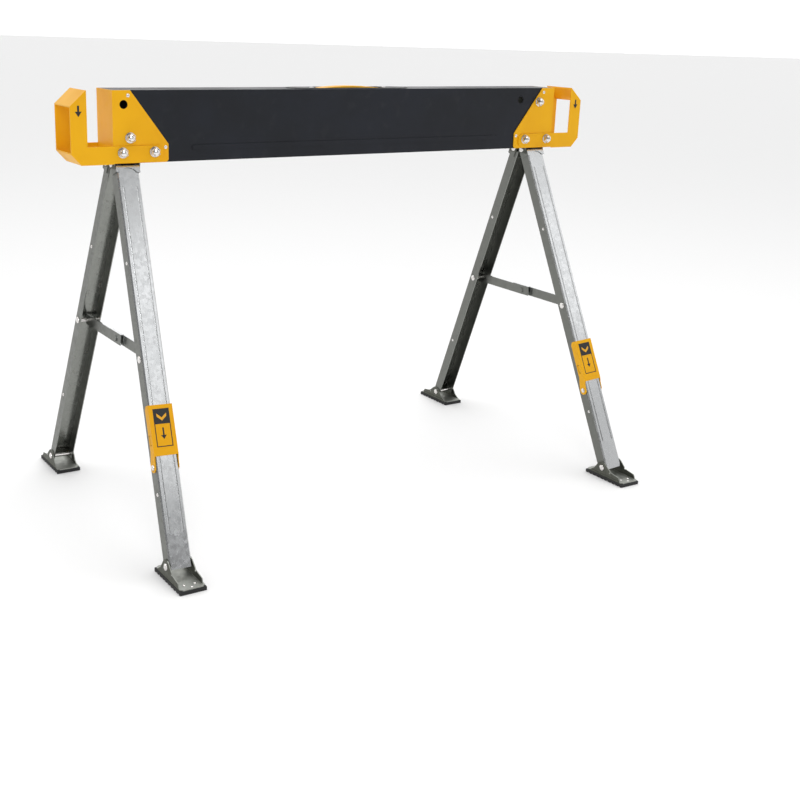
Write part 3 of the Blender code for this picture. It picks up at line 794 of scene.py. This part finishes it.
class LegSet:
    """The fixings of one leg set, placed from the frame's joints."""

    def __init__(self, name: str, joints: dict[str, dict], size: LegSize, maker: Maker) -> None:
        """Reads the set's joints.

        Args:
            name: Which set, left or right.
            joints: The record's joints by name.
            size: Its fixings' sizes.
            maker: What makes pieces.
        """
        self.name = name
        self.joints = joints
        self.size = size
        self.maker = maker

    def leg(self, row: str) -> Matrix:
        """The frame of a leg at rest.

        Args:
            row: Which leg, front or rear.

        Returns:
            The frame: origin on its hinge, X along its width, Z up the leg.
        """
        hinge = self.joints[f"leg_close_{row}_{self.name}"]
        top = Vector(hinge["pos_m"])
        across = Vector(hinge["axis"]).normalized()
        up = (top - Vector(self.joints[f"foot_swivel_{row}_{self.name}"]["pos_m"])).normalized()
        turn = Matrix((across, up.cross(across), up)).transposed()
        return Matrix.Translation(top) @ turn.to_4x4()

    def build(self) -> None:
        """Builds every fixing of the set."""
        for row, out in (("front", -1), ("rear", 1)):
            self.side_rivets(row, out)
            self.foot(row, out)
        self.latch()

    def side_rivets(self, row: str, out: int) -> None:
        """Rivets through the side walls of a leg.

        Args:
            row: The leg.
            out: Which way its outer face looks along Y.
        """
        frame = self.leg(row)
        width = 20.5 * MM
        downs = self.size.front_rivets if row == "front" else self.size.rear_rivets
        for index, down in enumerate(downs):
            for hand in (-1, 1):
                point = frame @ Vector((hand * width, out * 1 * MM, -down))
                bm = bmesh.new()
                facing = frame.to_3x3() @ Vector((hand, 0, 0))
                turned(bm, dome(self.size.rivet, 1.6 * MM), along(point, facing))
                name = f"leg_rivet_{row}_{self.name}_{index}{'ab'[hand > 0]}"
                self.maker.add(name, bm, CHROME, f"leg_set_{row}_{self.name}")

    def foot(self, row: str, out: int) -> None:
        """The rivet heads on a shoe's plate.

        Args:
            row: The leg.
            out: Which way its toe points along Y.
        """
        pin = Vector(self.joints[f"foot_swivel_{row}_{self.name}"]["pos_m"])
        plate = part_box(f"foot_pad_{row}_{self.name}")[1][2] + 2.5 * MM
        body = f"foot_{row}_{self.name}"
        for index, (x, y) in enumerate(((-10, 46), (10, 46), (0, 56))):
            bm = bmesh.new()
            spot = Vector((pin.x + x * MM, pin.y + out * y * MM, plate))
            turned(bm, dome(self.size.shoe_rivet, 1.1 * MM), Matrix.Translation(spot), 16)
            self.maker.add(f"shoe_rivet_{row}_{self.name}_{index}", bm, CHROME, body)

    def latch(self) -> None:
        """The latch's plain label and its pressed bumps."""
        frame = self.leg("front")
        pivot = frame.inverted() @ Vector(self.joints[f"latch_open_{self.name}"]["pos_m"])
        half_x, half_z = (value / 2 for value in self.size.label)
        body = f"latch_set_{self.name}"
        face = -14.4 * MM
        middle = Vector((0, face, pivot.z + self.size.label_middle))
        place = frame @ Matrix.Translation(middle) @ Matrix.Rotation(math.pi / 2, 4, "X")
        split = 0.1 * self.size.label[1]
        rim = 1.6 * MM
        plate = bmesh.new()
        upper = [(-half_x, split), (half_x, split), (half_x, half_z), (-half_x, half_z)]
        slab(plate, upper, LABEL_THICK, place)
        frames = (
            ((-half_x, -half_z), (-half_x + rim, split)),
            ((half_x - rim, -half_z), (half_x, split)),
            ((-half_x + rim, -half_z), (half_x - rim, -half_z + rim)),
        )
        for (x0, y0), (x1, y1) in frames:
            slab(plate, [(x0, y0), (x1, y0), (x1, y1), (x0, y1)], LABEL_THICK, place)
        arrow = [(-1.4, -9), (1.4, -9), (1.4, -22), (5, -22), (0, -29), (-5, -22), (-1.4, -22)]
        slab(plate, [(x * MM, (y + 9) * MM) for x, y in arrow], LABEL_THICK, place)
        self.maker.add(f"latch_label_{self.name}", plate, INK, body, smooth=False)
        bm = bmesh.new()
        lift = place @ Matrix.Translation((0, 0, LABEL_THICK))
        chevron = [(-9, 25), (-9, 19.5), (0, 12), (9, 19.5), (9, 25), (0, 17.5)]
        slab(bm, [(x * MM, y * MM) for x, y in chevron], 0.1 * MM, lift)
        self.maker.add(f"latch_chevron_{self.name}", bm, INK_YELLOW, body, smooth=False)
        bm = bmesh.new()
        for rise in (52, 60, 68):
            spot = frame @ Vector((22.35 * MM, -6 * MM, pivot.z + rise * MM))
            turned(bm, dome(3 * MM, 0.9 * MM), along(spot, frame.to_3x3() @ Vector((1, 0, 0))), 16)
        self.maker.add(f"latch_bumps_{self.name}", bm, YELLOW, body)


@dataclass(frozen=True)
class Lamp:
    """A soft area light."""

    name: str
    place: tuple[float, float, float]
    size: float
    power: float


LAMPS = (
    Lamp("key", (-1.7, -3.1, 2.5), 1.5, 32.0),
    Lamp("card", (0.75, -2.75, 1.85), 1.2, 3.6),
    Lamp("front_right", (2.3, -2.4, 1.8), 0.8, 1.2),
    Lamp("top", (0.2, 0.2, 3.8), 2.6, 34.0),
)


FLOOR_HALF = 60
FLOOR_COLOUR = (0.9, 0.9, 0.9, 1)
FLOOR_ROUGHNESS = 0.7
BACKDROP_HEADING = (0.5, 0.85, 0.1)
BACKDROP_RAMP = (("From Min", -0.5), ("From Max", 0.1), ("To Min", 0.26), ("To Max", 1.25))
LAMP_TARGET = (0, 0, 0.45)


def light_stage() -> None:
    """Floor, world and lamps."""
    bm = bmesh.new()
    bmesh.ops.create_grid(bm, x_segments=1, y_segments=1, size=FLOOR_HALF)
    mesh = bpy.data.meshes.new("floor")
    bm.to_mesh(mesh)
    bm.free()
    floor = bpy.data.objects.new("floor", mesh)
    paint = bpy.data.materials.new("floor_paint")
    paint.use_nodes = True
    paint.node_tree.nodes["Principled BSDF"].inputs["Base Color"].default_value = FLOOR_COLOUR
    paint.node_tree.nodes["Principled BSDF"].inputs["Roughness"].default_value = FLOOR_ROUGHNESS
    mesh.materials.append(paint)
    bpy.context.scene.collection.objects.link(floor)
    world = bpy.data.worlds.new("studio")
    world.use_nodes = True
    tree = world.node_tree
    background = tree.nodes["Background"]
    background.inputs["Color"].default_value = (1, 1, 1, 1)
    heading = tree.nodes.new("ShaderNodeTexCoord")
    toward = tree.nodes.new("ShaderNodeVectorMath")
    toward.operation = "DOT_PRODUCT"
    toward.inputs[1].default_value = BACKDROP_HEADING
    spread = tree.nodes.new("ShaderNodeMapRange")
    for name, value in BACKDROP_RAMP:
        spread.inputs[name].default_value = value
    tree.links.new(heading.outputs["Generated"], toward.inputs[0])
    tree.links.new(toward.outputs["Value"], spread.inputs["Value"])
    tree.links.new(spread.outputs["Result"], background.inputs["Strength"])
    bpy.context.scene.world = world
    for lamp in LAMPS:
        data = bpy.data.lights.new(lamp.name, "AREA")
        data.size = lamp.size
        data.energy = lamp.power
        obj = bpy.data.objects.new(lamp.name, data)
        place = Vector(lamp.place)
        aim = (place - Vector(LAMP_TARGET)).to_track_quat("Z", "Y").to_matrix().to_4x4()
        obj.matrix_world = Matrix.Translation(place) @ aim
        bpy.context.scene.collection.objects.link(obj)


@dataclass(frozen=True)
class View:
    """The camera: where it stands and how it is turned, in radians about X, Y and Z."""

    place: tuple[float, float, float] = (-1.2494, -1.9797, 0.9221)
    turn: tuple[float, float, float] = (-0.2812, -0.02809, -0.55363)
    lens: float = 52.65
    shift: tuple[float, float] = (0.0767, -0.0496)


def set_camera(view: View) -> None:
    """Makes the camera.

    Args:
        view: Where it stands and looks.
    """
    data = bpy.data.cameras.new("camera")
    data.lens = view.lens
    data.sensor_width = 36
    data.shift_x, data.shift_y = view.shift
    data.clip_end = 50
    obj = bpy.data.objects.new("camera", data)
    about_x, about_y, about_z = view.turn
    turn = Matrix.Rotation(about_z, 4, "Z") @ Matrix.Rotation(about_y, 4, "Y")
    turn = turn @ Matrix.Rotation(about_x, 4, "X")
    obj.matrix_world = Matrix.Translation(view.place) @ turn @ Matrix.Rotation(math.pi / 2, 4, "X")
    bpy.context.scene.collection.objects.link(obj)
    bpy.context.scene.camera = obj


def main() -> None:
    """Builds the looks round the CAD frame."""
    logging.basicConfig(level=logging.INFO)
    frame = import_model()
    palette = Palette()
    dress(frame["nodes"], palette)
    maker = Maker(palette)
    Beam(BeamSize(), maker).build()
    joints = {joint["name"]: joint for joint in frame["record"]["behaviour"]["joints"]}
    for name in ("left", "right"):
        LegSet(name, joints, LegSize(), maker).build()
    light_stage()
    set_camera(View())
    bpy.context.scene.view_settings.view_transform = "Standard"
    log.info("%d extra pieces on %d CAD nodes", maker.count, len(frame["nodes"]))


if __name__ == "__main__":
    main()
